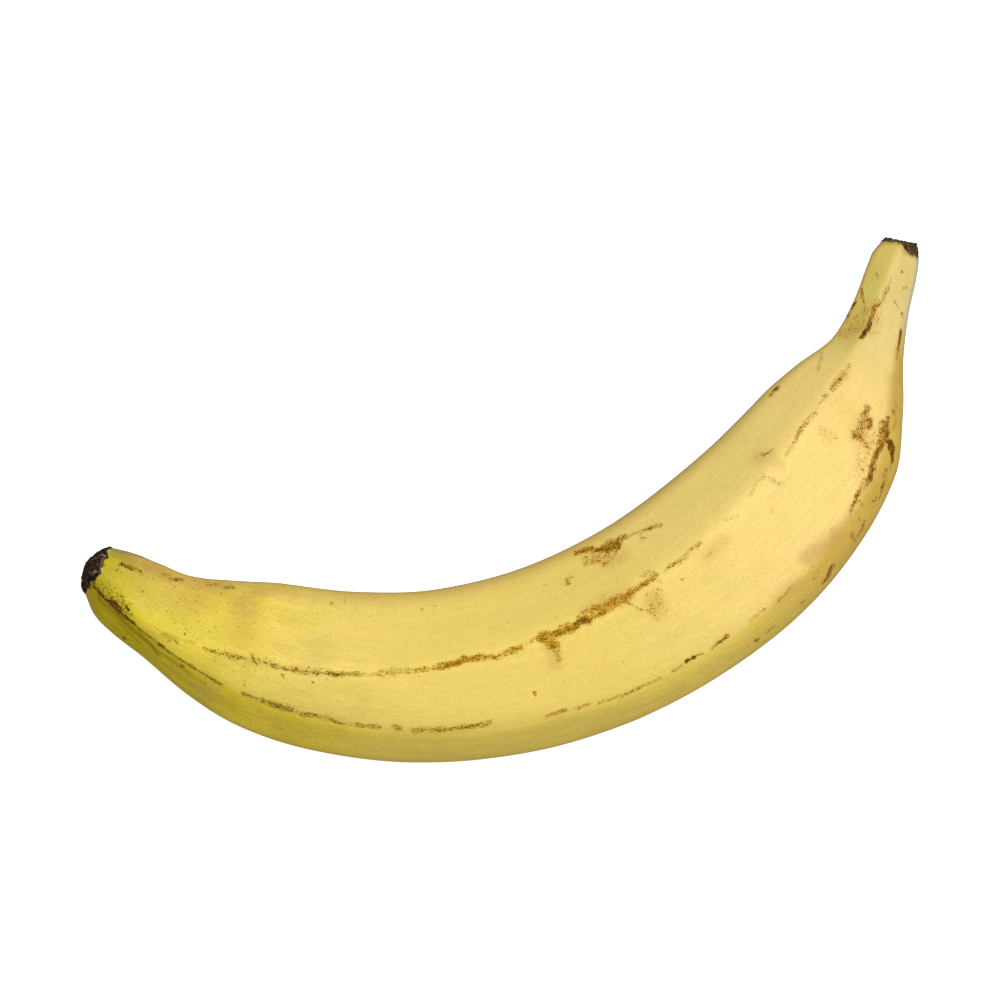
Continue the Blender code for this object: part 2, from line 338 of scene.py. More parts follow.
    (0.9, 0.80, 0.65, ((877, 452), (874.5, 459), (872.5, 466))),
    (0.8, 0.90, 0.75, ((872.5, 464), (871.3, 472), (869.8, 479))),
    (0.5, 0.64, 0.7, ((868, 481), (864, 487), (859, 493))),
    (0.4, 0.56, 0.6, ((866, 479), (861, 485), (858, 491))),
    (0.45, 0.74, 0.8, ((858, 494), (855, 499), (853, 505), (850.5, 511))),
    (0.3, 0.55, 0.5, ((856, 498), (858, 500), (857, 502))),
    (0.3, 0.55, 0.5, ((860, 502), (862.5, 504), (861, 506))),
    (1.6, 0.30, 0.4, ((858, 452), (857, 466), (860, 476))),
    # Wedge and row of marks between the lower ridge and the keel.
    (0.5, 0.95, 0.85, ((888, 440.5), (889, 447), (890.8, 454), (892, 460))),
    (1.0, 1.00, 0.95, ((890.6, 444), (891, 448), (891.8, 454))),
    (0.6, 1.00, 0.85, ((891, 442), (893.6, 448), (893.2, 454), (892.4, 459))),
    (0.42, 0.95, 0.8, ((892, 456), (891.8, 462))),
    (0.3, 0.55, 0.5, ((890.3, 467), (890.6, 469))),
    (0.9, 0.54, 0.6, ((886, 472), (885.5, 478), (883.5, 484))),
    (0.6, 0.74, 0.7, ((883.5, 484), (882, 490))),
    (0.35, 0.62, 0.5, ((880, 496), (879, 499))),
    (0.35, 0.62, 0.5, ((876.5, 497), (875.5, 500), (872.5, 501.5))),
    (0.4, 0.52, 0.5, ((859.5, 519), (860, 521))),
    (0.45, 0.70, 0.6, ((864, 522), (862, 529), (858, 535))),
    (0.6, 0.60, 0.5, ((852, 534), (853.5, 539), (855, 540))),
    (0.8, 0.75, 0.7, ((833, 566), (830, 571), (827, 578), (824, 582))),
    (0.45, 0.65, 0.5, ((816, 577.5), (813, 578.5))),
    (0.4, 0.60, 0.5, ((802, 602), (804, 600.5))),
    (0.4, 0.62, 0.6, ((773, 627), (767, 633))),
    (0.6, 0.75, 0.6, ((756, 641), (758, 640))),
    (0.35, 0.56, 0.5, ((892.5, 411), (893.8, 409.5), (895, 411), (893.8, 413))),
    (0.3, 0.52, 0.5, ((896.5, 404), (896.5, 408))),
    (0.35, 0.50, 0.5, ((895.5, 422), (895, 425), (893, 428))),
    # The neck.
    (0.6, 0.96, 1.2, ((861.5, 337), (864, 333.5), (867, 329))),
    (0.6, 0.92, 1.2, ((866.5, 330), (868.5, 325), (871, 319))),
    (0.45, 0.84, 1.1, ((871, 319), (873, 314), (874.3, 310.5))),
    (0.35, 0.78, 0.9, ((872.5, 309), (874, 306), (879, 305))),
    (0.4, 0.52, 0.8, ((881, 303), (882.5, 299), (883.7, 295.5))),
    (0.45, 0.56, 0.8, ((883.5, 296), (885.5, 291), (887.5, 287.5))),
    (0.26, 0.46, 0.5, ((890, 283), (890.8, 279))),
    (1.5, 0.40, 0.6, ((864, 327), (871, 312), (880, 300))),
    (1.4, 0.36, 0.6, ((872, 326), (878, 318), (874, 334))),
    (0.3, 0.98, 0.9, ((900.8, 330), (899.8, 338), (898.5, 345), (897.6, 350))),
    (0.25, 0.60, 0.4, ((897.2, 351), (896, 359))),
    (0.3, 0.62, 0.8, ((861.8, 289), (862.3, 294), (861, 298))),
    (0.25, 0.56, 0.7, ((862.3, 294), (863.5, 300), (864.5, 309), (863.5, 314))),
    (0.35, 0.75, 1.3, ((855.8, 302), (851.4, 309), (847.4, 317))),
    (1.8, 0.42, 0.6, ((843, 334), (853, 330), (860, 329))),
    (1.4, 0.38, 0.6, ((849, 322), (856, 320))),
    (0.25, 0.55, 0.4, ((876, 273), (877.5, 275.5), (878, 278))),
    (0.25, 0.60, 0.5, ((902, 271), (902.5, 273))),
    (0.25, 0.60, 0.5, ((904, 288.5), (905.5, 287))),
    (0.25, 0.45, 0.4, ((895, 302), (898.5, 308.5))),
    (0.25, 0.55, 0.5, ((901.5, 313.5), (903, 317))),
    # Inner edge of the belly.
    (0.6, 0.70, 1.0, ((771, 395), (775, 391), (779, 387))),
    (0.36, 0.44, 0.4, ((820, 361), (822, 352), (818, 372))),
    # Small dots.
    (0.25, 0.68, 0.8, ((282.5, 675.5), (283.5, 676.5))),
    (0.35, 0.60, 0.6, ((312.4, 681.6), (313, 682.4))),
    (0.3, 0.60, 0.5, ((331.4, 602.6), (332, 603.4))),
    (0.3, 0.60, 0.5, ((344.2, 599.6), (344.8, 600.4))),
    (0.3, 0.60, 0.5, ((434.6, 605.6), (435.4, 606.4))),
    (0.3, 0.55, 0.5, ((421.6, 608.6), (422.4, 609.4))),
    (0.3, 0.55, 0.5, ((544.6, 584.6), (545.4, 585.4))),
    (0.28, 0.49, 0.5, ((168, 641), (169.5, 641.4))),
    (0.28, 0.57, 0.6, ((175, 641.4), (176.2, 641.9))),
    (0.28, 0.49, 0.5, ((177.4, 643.6), (178.6, 644.4))),
)

# Soft stains, and along the inner top edge of the scar half partly painted shade: half width, strength and
# pixels along the middle.
STAINS_AND_EDGE_SHADE = (
    (3.2, 0.55, ((243, 606), (249, 610))),
    (4.5, 0.30, ((235, 628), (247, 634))),
    (1.8, 0.40, ((260, 593), (263, 594.5))),
    (2.2, 0.42, ((759, 458), (767, 457))),
    (1.6, 0.40, ((776, 462), (779, 464))),
    (2.2, 0.85, ((806, 558), (816, 551), (827, 543), (835, 535))),
    (1.6, 0.45, ((836, 534), (846, 522), (853, 512))),
    (2.4, 0.45, ((778, 601), (786, 592), (796, 584))),
    (2.2, 0.40, ((708, 556), (717, 546), (722, 540))),
    (3.0, 0.30, ((654, 600), (657, 610))),
    (1.6, 0.60, ((604, 606), (614, 602), (626, 597))),
    (2.0, 0.45, ((892, 380), (893, 400), (894, 415))),
    (1.6, 0.50, ((899, 352), (900, 366), (899, 380))),
    (2.5, 0.45, ((610, 563), (622, 556))),
    (2.0, 0.50, ((549, 640), (553, 652), (554, 664))),
    (2.4, 0.40, ((586, 612), (604, 603), (628, 592))),
    (3.4, 0.50, ((848, 306), (842, 322), (852, 336))),
    (2.6, 0.35, ((884, 250), (880, 262), (874, 276))),
    (2.4, 0.35, ((862, 420), (858, 432), (866, 442))),
    # Along the inner top edge of the scar half: partly reddish tan stain, partly painted shade where that
    # edge turns away from the light.
    (5.5, 0.50, ((138, 574), (160, 588), (190, 597))),
    (4.5, 0.26, ((205, 596), (236, 602))),
    (2.0, 0.45, ((148, 568), (168, 577), (190, 583))),
    (1.8, 0.65, ((202, 585), (226, 588))),
    (1.8, 0.45, ((258, 590), (292, 594))),
    (1.6, 0.35, ((136, 566), (146, 574))),
    (1.5, 0.50, ((871, 322), (867, 331))),
    (0.9, 0.55, ((883, 242), (889, 243))),
    (1.0, 0.70, ((904, 252), (911, 253))),
    (0.8, 0.60, ((917, 257), (918, 262))),
)

# Olive patches: half width, strength and pixels along the middle.
OLIVES = (
    (0.9, 0.70, ((99, 598), (108, 608), (119.8, 617), (131.6, 628), (141, 636), (150, 644), (157, 653))),
    (0.4, 0.55, ((118, 622), (130, 634), (142, 645))),
    (0.5, 0.45, ((160, 653), (180, 667), (205, 684))),
    (1.6, 0.36, ((115, 553), (124, 557), (133, 561))),
    (1.4, 0.40, ((146, 566), (156, 570), (168, 577))),
    (0.8, 0.35, ((163, 634), (170, 637), (176, 639))),
    (0.5, 0.30, ((186, 641), (194, 643))),
    (3.0, 0.14, ((884, 462), (878, 480), (868, 500))),
)

# Pale crests of the crust, partly wear and partly painted highlight: half width, strength and pixels along
# the middle.
CRESTS = (
    (0.30, 0.85, ((82, 574), (83, 570), (86, 565.5), (90, 561.5), (94, 559.5), (98, 558))),
    (0.34, 1.00, ((99, 556.3), (102.5, 554.8), (105.5, 555.6))),
    (0.28, 0.70, ((107.2, 557), (107, 560), (104, 563), (101, 567))),
    (0.30, 0.80, ((91.6, 571.4), (95.5, 572.5), (99.8, 571.6))),
    (0.35, 0.60, ((83.8, 573), (84.5, 579), (87.5, 583))),
    (0.35, 0.60, ((93, 557), (98, 553.5), (104, 551))),
    (0.30, 0.50, ((88, 586), (86.5, 589), (87, 592))),
)

# Ridges whose scuffs the photograph doesn't show: lane, and the shares where the scuffs start and stop.
HIDDEN_RIDGES = ((3.06, 0.18, 0.54), (4.0, 0.02, 0.84), (5.0, 0.03, 0.94), (5.97, 0.02, 0.64))

# What is drawn for each of those scuffs: length, drift across the ridge, half width with cover and darkness,
# how much of its length the next one starts after, and at times a gap. Lengths and gaps are shares.
HIDDEN_SEED = 7
DRAWN_LENGTH = (0.008, 0.035)
DRAWN_DRIFT = (-0.03, 0.03)
DRAWN_MARK = ((0.3, 1.0), (0.44, 0.76), (0.4, 0.9))
DRAWN_ADVANCE = (0.5, 1.0)
GAP_CHANCE = 0.3
DRAWN_GAP = (0.02, 0.09)

# Scuffs between those ridges: half width, cover, darkness, and places as share and lane.
HIDDEN_SCUFFS = (
    (1.6, 0.34, 0.3, ((0.30, 4.5), (0.33, 4.55))),
    (2.2, 0.30, 0.4, ((0.62, 4.45), (0.65, 4.5))),
    (2.0, 0.32, 0.3, ((0.47, 5.55), (0.49, 5.5))),
    (1.4, 0.38, 0.4, ((0.74, 3.5), (0.76, 3.45))),
    (0.4, 0.85, 0.8, ((0.43, 4.63), (0.438, 4.65))),
    (0.4, 0.85, 0.8, ((0.715, 5.44), (0.722, 5.46))),
    (0.4, 0.85, 0.7, ((0.245, 5.51), (0.252, 5.53))),
)
HIDDEN_STAINS = (
    (3.5, 0.45, ((0.35, 5.4), (0.38, 5.5))),
    (4.0, 0.35, ((0.58, 4.4), (0.62, 4.5))),
    (3.0, 0.40, ((0.80, 5.2), (0.84, 5.1))),
    (3.0, 0.35, ((0.22, 3.5), (0.26, 3.6))),
)

# The studio, in metres: radius and sides of the floor, how far the bounce card lies under it, direction and
# distance of the softbox, and how far the camera sees.
FLOOR_RADIUS = 4.0
FLOOR_SIDES = 96
CARD_DEPTH = 0.0005
SOFTBOX_WAY = (0.22, 0.10, 1.0)
SOFTBOX_DISTANCE = 3.0
CAMERA_REACH = 20.0

# Sockets of a Mix node that mixes colours.
MIX_A = 6
MIX_B = 7
MIX_RESULT = 2


def srgb(red, green, blue):
    """A linear colour from the three values of a colour picker, 0 to 255."""

    def linear(value):
        value /= 255
        return value / 12.92 if value <= 0.04045 else ((value + 0.055) / 1.055) ** 2.4

    return linear(red), linear(green), linear(blue)


def colour_property(name, description, default):
    return bpy.props.FloatVectorProperty(
        name=name, description=description, subtype="COLOR", size=3, min=0, max=1, default=default
    )


def number_property(name, description, default, low, high, **settings):
    """A number with its default, its lowest and its highest value."""
    return bpy.props.FloatProperty(
        name=name, description=description, default=default, min=low, max=high, **settings
    )


class PlantainShape(bpy.types.PropertyGroup):
    """Sizes of the fruit."""

    curve_length: number_property(
        "Length along the curve", "Length of the middle, from scar to cut", 0.2836, 0.15, 0.45, unit="LENGTH"
    )
    bend_radius: number_property(
        "Bend radius", "Radius of the arc that the middle follows", 0.1338, 0.09, 0.6, unit="LENGTH"
    )
    girth: number_property("Girth", "Factor of the fruit's thickness", 1.0, 0.6, 1.4, subtype="FACTOR")
    ridge_crispness: number_property(
        "Ridge crispness", "More makes flatter facets and crisper ridges", 16, 4, 60
    )
    undulation: number_property(
        "Undulation", "Depth of the low swellings of the peel", 0.00018, 0, 0.002, precision=5, unit="LENGTH"
    )
    wrinkle_depth: number_property(
        "Crust wrinkle depth", "Depth of the scar's folds", 0.0006, 0, 0.002, precision=5, unit="LENGTH"
    )


class PlantainPeel(bpy.types.PropertyGroup):
    """Colours and finish of the peel, some of them holding painted light and shade."""

    tip_green: colour_property("Tip", "Greenish peel next to the flower scar", srgb(212, 194, 44))
    shoulder: colour_property("Shoulder", "Peel where the fruit widens from the scar", srgb(246, 219, 80))
    pale_yellow: colour_property("Belly, scar side", "Yellow peel of the scar half", srgb(242, 213, 112))
    warm_yellow: colour_property("Belly, stem side", "Warmer peel of the stem half", srgb(250, 218, 132))
    neck_yellow: colour_property("Neck", "Pale peel of the neck", srgb(231, 208, 134))
    stem_green: colour_property("Stem", "Peel under the cut", srgb(230, 207, 130))
    # The greener inner facet's colour: partly its own green, partly painted shade.
    inner_green_and_shade: colour_property("Upper inner facet", "Greener inner side of the neck", srgb(208, 194, 82))
    # Outer side colours: partly the peel's own tone, partly painted light on the scar half and painted
    # shade, the ochre, on the stem half.
    outer_tip: colour_property("Outer side, tip", "Peel next to the flower scar", srgb(206, 184, 2))
    outer_shoulder_and_light: colour_property("Outer side, shoulder", "Greenish yellow peel", srgb(255, 224, 64))
    outer_belly_and_light: colour_property("Outer side, belly", "Peel outside the bend", srgb(252, 220, 102))
    outer_ochre_and_shade: colour_property("Outer side, stem half", "Ochre peel of the outer side", srgb(222, 186, 88))
    outer_neck: colour_property("Outer side, neck", "Outer side of the neck", srgb(228, 215, 160))
    inner_rim: colour_property("Inner side", "Duller peel beyond the inner ridge", srgb(202, 172, 92))
    olive: colour_property("Olive", "Unripe streaks", srgb(132, 118, 4))
    scuff_light: colour_property("Scuff, light", "Thin parts of the scuffs", srgb(200, 152, 22))
    scuff_brown: colour_property("Scuff, brown", "Main colour of the scuffs", srgb(162, 110, 0))
    scuff_dark: colour_property("Scuff, dark", "Darkest parts of the scuffs", srgb(88, 58, 0))
    freckle: colour_property("Freckles", "Small dots all over the peel", srgb(150, 116, 16))
    stain: colour_property("Stain", "Soft bruised patches", srgb(194, 144, 82))
    # The crust's near black also serves as painted shade in the hollows of its folds, and its pale colour as
    # painted highlight on the crests.
    crust_dark: colour_property("Crust, dark", "Hollows of the dried flower scar", srgb(28, 19, 10))
    crust_brown: colour_property("Crust, brown", "Folds of the dried flower scar", srgb(112, 88, 62))
    crust_pale_and_highlight: colour_property("Crust, pale", "Worn edges of the folds", srgb(186, 158, 126))
    roughness: number_property("Roughness", "Roughness of clean peel", 0.5, 0, 1, subtype="FACTOR")


class PlantainStudio(bpy.types.PropertyGroup):
    """Floor, lights and camera."""

    floor_colour: colour_property("Floor", "Colour of the studio floor", (0.9, 0.9, 0.9))
    card_colour: colour_property("Bounce card", "Floor as the fruit's underside sees it", (0.42, 0.42, 0.42))
    floor_glow: number_property("Floor glow", "Light that the floor gives off by itself", 0.75, 0, 5)
    key_power: number_property("Softbox power", "Power of the large softbox", 82, 0, 2000, unit="POWER")
    key_size: number_property("Softbox size", "Side of the square softbox", 1.9, 0.05, 10, unit="LENGTH")
    fill: number_property("Room light", "Strength of the even light from all round", 0.25, 0, 5)
    camera_height: number_property("Camera height", "Height over the floor", 5.0, 0.5, 15, unit="LENGTH")


def along(stations, shares):
    """The smooth curve through stations, rows of a share and a value, at each of these shares."""
    places, values = np.array(stations, float).T
    before = np.maximum(np.arange(len(places)) - 1, 0)
    after = np.minimum(np.arange(len(places)) + 1, len(places) - 1)
    slopes = (values[after] - values[before]) / (places[after] - places[before])
    start = np.clip(np.searchsorted(places, shares, side="right") - 1, 0, len(places) - 2)
    span = places[start + 1] - places[start]
    step = (shares - places[start]) / span
    rise = values[start] + (values[start + 1] - values[start]) * step * step * (3 - 2 * step)
    lean = slopes[start] * (1 - step) - slopes[start + 1] * step
    return rise + span * step * (1 - step) * lean


def column(stations, index):
    """The stations of one column of a wider table."""
    return tuple((row[0], row[index]) for row in stations)


def smooth(low, high, values):
    """0 up to low, 1 from high, and a smooth rise between."""
    step = np.clip((values - low) / (high - low), 0, 1)
    return step * step * (3 - 2 * step)


def grain(places, size, detail=3):
    """Fractal noise, about -1 to 1, at each place. Places and size are millimetres."""
    return np.array([noise.fractal(Vector(place), 1.0, 2.0, detail) for place in places / size])


def waver(places, layers):
    """Sum of layers of grain, each with its size and its depth."""
    return sum(grain(places, size) * depth for size, depth in layers)


def ridge_lanes():
    """A number for each column, whole at the ridges. The columns crowd toward them."""
    lanes = []
    for ridge, columns in enumerate(COLUMNS):
        steps = np.arange(columns) / columns
        eased = (1 - np.cos(math.pi * steps)) / 2
        lanes.append(ridge + steps + (eased - steps) * RIDGE_CROWDING)
    return np.concatenate(lanes)


LANES = ridge_lanes()
SIDES = len(LANES)


class Body:
    """Sections of the fruit at every ring, in millimetres, all worked out together."""

    def __init__(self, shape):
        self.length = shape.curve_length / MM
        self.bend = shape.bend_radius / MM
        self.crispness = shape.ridge_crispness
        steps = np.arange(RINGS + 1) / RINGS
        self.shares = steps + ((1 - np.cos(math.pi * steps)) / 2 - steps) * END_CROWDING
        self.ridges = np.radians([along(ridge, self.shares) for ridge in RIDGES]).T
        self.next_ridges = np.concatenate([self.ridges[:, 1:], self.ridges[:, :1] + math.tau], axis=1)
        samples = np.linspace(0, math.tau, OUTLINE_SAMPLES, endpoint=False)
        reach = self.radius(np.tile(samples, (RINGS + 1, 1)))
        outline_across = reach * np.cos(samples)
        outline_up = reach * np.sin(samples)
        inner = along(column(GIRTH, 1), self.shares) * shape.girth
        outer = along(column(GIRTH, 2), self.shares) * shape.girth
        self.middle_across = (outer - inner) / 2
        self.scale_across = (inner + outer) / np.ptp(outline_across, axis=1)
        self.shift_across = (outline_across.max(axis=1) + outline_across.min(axis=1)) / 2
        self.height = (inner + outer) * along(TALLNESS, self.shares)
        self.scale_up = self.height / np.ptp(outline_up, axis=1)
        self.lowest = outline_up.min(axis=1)
        self.underside = along(UNDERSIDE, self.shares)
        ridge = LANES.astype(int)
        self.angles = self.ridges[:, ridge] + (self.next_ridges - self.ridges)[:, ridge] * (LANES % 1)
        self.radii = self.radius(self.angles)

    def radius(self, angles):
        """Reach of a rounded polygon, its corners on the ridges, in each direction of each ring."""
        facing = (self.ridges + self.next_ridges) / 2
        distance = np.cos((self.next_ridges - self.ridges) / 2)
        toward = np.clip(np.cos(angles[:, :, None] - facing[:, None, :]), 0, None) / distance[:, None, :]
        return (toward**self.crispness).sum(axis=2) ** (-1 / self.crispness)

    def section_place(self, ring, side, reach):
        """Place across and up of points given by ring, side and reach."""
        angle = self.angles[ring, side]
        radius = self.radii[ring, side]
        skin_across = (radius * np.cos(angle) - self.shift_across[ring]) * self.scale_across[ring]
        skin_up = self.underside[ring] + (radius * np.sin(angle) - self.lowest[ring]) * self.scale_up[ring]
        middle_up = self.underside[ring] + self.height[ring] / 2
        across = self.middle_across[ring] + skin_across * reach
        return across, np.maximum(middle_up + (skin_up - middle_up) * reach, 0)

    def bent(self, share, across, up, beyond):
        """Points of the section set on the bend. beyond shifts them along the mid curve, toward the stem."""
        heading = (share - 0.5) * self.length / self.bend
        radius = self.bend + across
        return np.stack(
            [
                radius * np.sin(heading) + beyond * np.cos(heading),
                self.bend - radius * np.cos(heading) + beyond * np.sin(heading),
                up,
            ],
            axis=1,
        )


def straight_cylinder():
    """A cylinder one unit long and of unit radius, with rings along it and smaller rings on both ends."""
    form = bmesh.new()
    bmesh.ops.create_cone(form, cap_ends=True, cap_tris=False, segments=SIDES, radius1=1, radius2=1, depth=1)
    long_edges = [edge for edge in form.edges if edge.verts[0].co.z * edge.verts[1].co.z < 0]
    bmesh.ops.subdivide_edges(form, edges=long_edges, cuts=RINGS - 1, use_grid_fill=True)
    caps = [face for face in form.faces if len(face.verts) == SIDES]
    for _ in range(CAP_RINGS):
        bmesh.ops.inset_region(form, faces=caps, thickness=CAP_INSET)
    bmesh.ops.poke(form, faces=caps)
    return form


def read_vectors(collection, name):
    values = np.empty(len(collection) * 3, np.float32)
    collection.foreach_get(name, values)
    return values.reshape(-1, 3).astype(float)


def store(mesh, **attributes):
    """Stores a number or a vector for each vertex under each name, for the material to read."""
    for name, values in attributes.items():
        is_vector = values.ndim == 2
        attribute = mesh.attributes.new(name, "FLOAT_VECTOR" if is_vector else "FLOAT", "POINT")
        attribute.data.foreach_set("vector" if is_vector else "value", values.astype(np.float32).ravel())


class Peel:
    """The fruit's points: where each one is on the peel and in the scene."""

    def __init__(self, mesh, shape):
        self.mesh = mesh
        self.body = Body(shape)
        straight = read_vectors(mesh.vertices, "co")
        self.ring = np.rint((straight[:, 2] + 0.5) * RINGS).astype(int)
        turn = np.arctan2(-straight[:, 0], straight[:, 1])
        self.side = np.rint(turn / math.tau * SIDES).astype(int) % SIDES
        self.reach = np.minimum(np.hypot(straight[:, 0], straight[:, 1]), 1)
        self.share = self.body.shares[self.ring]
        self.lane = LANES[self.side]
        self.angle = self.body.angles[self.ring, self.side]
        self.across, self.up = self.body.section_place(self.ring, self.side, self.reach)
        on_scar = (self.ring == 0) * 1.0
        on_cut = (self.ring == RINGS) * 1.0
        near_scar = np.clip(1 - self.share / SLANT_SHARE, 0, 1)
        near_cut = np.clip(1 - (1 - self.share) / SLANT_SHARE, 0, 1)
        beyond = (SCAR_SLANT * near_scar - CUT_SLANT * near_cut) * self.across
        dome = SCAR_HEIGHT * (1 + SCAR_LEAN * self.across)
        beyond -= on_scar * dome * (1 - self.reach**2) ** SCAR_BLUNTNESS
        beyond -= on_cut * CUT_DISH * (1 - self.reach**3)
        self.places = self.body.bent(self.share, self.across, self.up, beyond)
        low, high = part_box("plantain")
        middle = (low + high) / 2 / MM
        self.places += np.array([middle.x + BEND_PLACE[0], middle.y + BEND_PLACE[1], 0])
        self.straight = np.stack([self.share * self.body.length + beyond, self.across, self.up], axis=1)
        self.store_places()

    def store_places(self):
        self.mesh.vertices.foreach_set("co", (self.places * MM).astype(np.float32).ravel())
        self.mesh.update()

    def push(self, depth):
        """Moves each point outward by its depth, in millimetres."""
        self.places += read_vectors(self.mesh.vertices, "normal") * depth[:, None]
        self.places[:, 2] = np.maximum(self.places[:, 2], 0)
        self.store_places()

    def place_of(self, share, lane):
        """The point of the peel nearest to this share and lane."""
        ring = int(np.argmin(abs(self.body.shares - share)))
        side = int(np.argmin(abs(LANES - lane % len(RIDGES))))
        there = (self.ring == ring) & (self.side == side) & (self.reach > SKIN_REACH)
        return self.places[np.flatnonzero(there)[0]]


class Photo:
    """The photograph's camera, which turns pixels into points of the peel."""

    def __init__(self, peel, camera_height):
        self.eye = Vector((*PHOTO_MIDDLE, camera_height / MM))
        faces = [tuple(face.vertices) for face in peel.mesh.polygons]
        self.tree = BVHTree.FromPolygons([tuple(place) for place in peel.places], faces)

    def drop(self, pixel):
        """Where the view through this pixel meets the peel, or the nearest point of the peel to it."""
        right = (pixel[0] - PHOTO_SIDE / 2) * PHOTO_PIXEL
        up = (PHOTO_SIDE / 2 - pixel[1]) * PHOTO_PIXEL
        x = PHOTO_MIDDLE[0] + right * math.cos(PHOTO_TURN) + up * math.sin(PHOTO_TURN)
        y = PHOTO_MIDDLE[1] - right * math.sin(PHOTO_TURN) + up * math.cos(PHOTO_TURN)
        target = Vector((x, y, PHOTO_PLANE))
        hit = self.tree.ray_cast(self.eye, (target - self.eye).normalized())[0]
        if hit is None:
            hit = self.tree.find_nearest(target)[0]
        return np.array(hit)


def distance_to_path(places, path):
    """Distance from each place to the nearest point of a line through the path's points."""
    nearest = np.full(len(places), np.inf)
    for start, stop in zip(path, path[1:]):
        line = stop - start
        share = np.clip((places - start) @ line / max(line @ line, TINY), 0, 1)
        nearest = np.minimum(nearest, np.linalg.norm(places - start - share[:, None] * line, axis=1))
    return nearest


def paths_of(peel, photo, marks, hidden_marks=()):
    """The marks with their paths as points of the peel."""
    seen = [(*mark[:-1], [photo.drop(pixel) for pixel in mark[-1]]) for mark in marks]
    return seen + [(*mark[:-1], [peel.place_of(*place) for place in mark[-1]]) for mark in hidden_marks]


def ridge_scuffs():
    """Broken scuffs along the hidden ridges, drawn with a fixed seed."""
    draw = random.Random(HIDDEN_SEED)
    scuffs = []
    for lane, share, last in HIDDEN_RIDGES:
        while share < last:
            length = draw.uniform(*DRAWN_LENGTH)
            path = [(share + length * step / 2, lane + draw.uniform(*DRAWN_DRIFT)) for step in range(3)]
            scuffs.append((*(draw.uniform(*drawn) for drawn in DRAWN_MARK), path))
            share += length * draw.uniform(*DRAWN_ADVANCE)
            if draw.random() < GAP_CHANCE:
                share += draw.uniform(*DRAWN_GAP)
    return scuffs


def paint_scuffs(peel, marks):
    """Cover and darkness of the scuffs at each point of the peel. Their outline wavers."""
    cover = np.zeros(len(peel.places))
    dark = np.zeros(len(peel.places))
    outline = waver(peel.straight * SCUFF_STRETCH, SCUFF_WAVER)
    for half, amount, tone, path in marks:
        distance = distance_to_path(peel.places, path) + outline * min(half, 1)
        mark = amount * (1 - smooth(half * SCUFF_CORE, half * SCUFF_EDGE + SCUFF_FRINGE, distance))
        dark = np.where(mark > cover, tone, dark)
        cover = np.maximum(cover, mark)
    return cover, dark


def paint_patches(peel, marks, edge):
    """Strength of soft patches at each point of the peel. They fade out at edge times their half width."""
    strength = np.zeros(len(peel.places))
    for half, amount, path in marks:
        distance = distance_to_path(peel.places, path)
        strength = 1 - (1 - strength) * (1 - amount * (1 - smooth(0, half * edge, distance)))
    return strength


def edge_round(peel, photo, pixels, hidden):
    """Place of an edge along the straight fruit at every point's angle. On the far side it is at hidden."""
    angles, places = [], []
    for pixel in pixels:
        point = photo.drop(pixel)
        index = int(np.argmin(np.linalg.norm(peel.places - point, axis=1)))
        angles.append(peel.angle[index])
        places.append(peel.straight[index, 0])
    order = np.argsort(angles)
    angles = np.array(angles)[order]
    places = np.array(places)[order]
    gap = (angles[0] + math.tau - angles[-1]) / 4
    angles = np.append(angles, [angles[-1] + gap, angles[0] + math.tau - gap])
    places = np.append(places, [hidden, hidden])
    return np.interp(peel.angle, angles, places, period=math.tau)


def crust_depth(peel, photo):
    """How far inside the flower scar's crust each point is, in millimetres. Outside it this is negative."""
    edge = edge_round(peel, photo, CRUST_EDGE, HIDDEN_CRUST)
    rim = edge - peel.straight[:, 0] + waver(peel.straight, CRUST_WAVER)
    return rim + (1 - peel.reach) * CRUST_ON_CAP * (peel.ring == 0)


def stem_depth(peel):
    """How far inside the stem's dried rim each point is, in millimetres."""
    rim = along(STEM_RIM, np.degrees(peel.angle) % 360)
    end = peel.body.length - CUT_SLANT * peel.across
    onto_cap = (1 - peel.reach) * STEM_ON_CAP * (peel.ring == RINGS)
    return peel.straight[:, 0] - (end - rim) + waver(peel.straight, STEM_WAVER) + onto_cap


def fold_height(peel, crust):
    """Layered folds of the crust, 0 in the hollows to 1 on the crests."""
    across_folds = crust + waver(peel.straight, FOLD_WARP) + peel.across * FOLD_LEAN
    ridged = 1 - abs(np.sin(across_folds * math.pi / FOLD_SPACING))
    return ridged**FOLD_SHARPNESS


class Wire:
    """An output of a shader node. Sums on it add Math nodes."""

    def __init__(self, nodes, socket):
        self.nodes = nodes
        self.socket = socket

    def __add__(self, other):
        return self.nodes.maths("ADD", self, other)

    __radd__ = __add__

    def __sub__(self, other):
        return self.nodes.maths("SUBTRACT", self, other)

    def __rsub__(self, other):
        return self.nodes.maths("SUBTRACT", other, self)

    def __mul__(self, other):
        return self.nodes.maths("MULTIPLY", self, other)

    __rmul__ = __mul__

    def __abs__(self):
        return self.nodes.maths("ABSOLUTE", self)

    def least(self, other):
        return self.nodes.maths("MINIMUM", self, other)

    def most(self, other):
        return self.nodes.maths("MAXIMUM", self, other)

    def rise(self, low, high):
        """0 up to low, 1 from high, and a smooth rise between."""
        inputs = {"Value": self, "From Min": low, "From Max": high, "To Min": 0.0, "To Max": 1.0}
        return self.nodes.node("ShaderNodeMapRange", {"interpolation_type": "SMOOTHSTEP"}, inputs)

    def stretched(self, x, y, z):
        """A vector with each axis scaled by its own factor."""
        return self.nodes.node("ShaderNodeVectorMath", {"operation": "MULTIPLY"}, {0: self, 1: (x, y, z)})


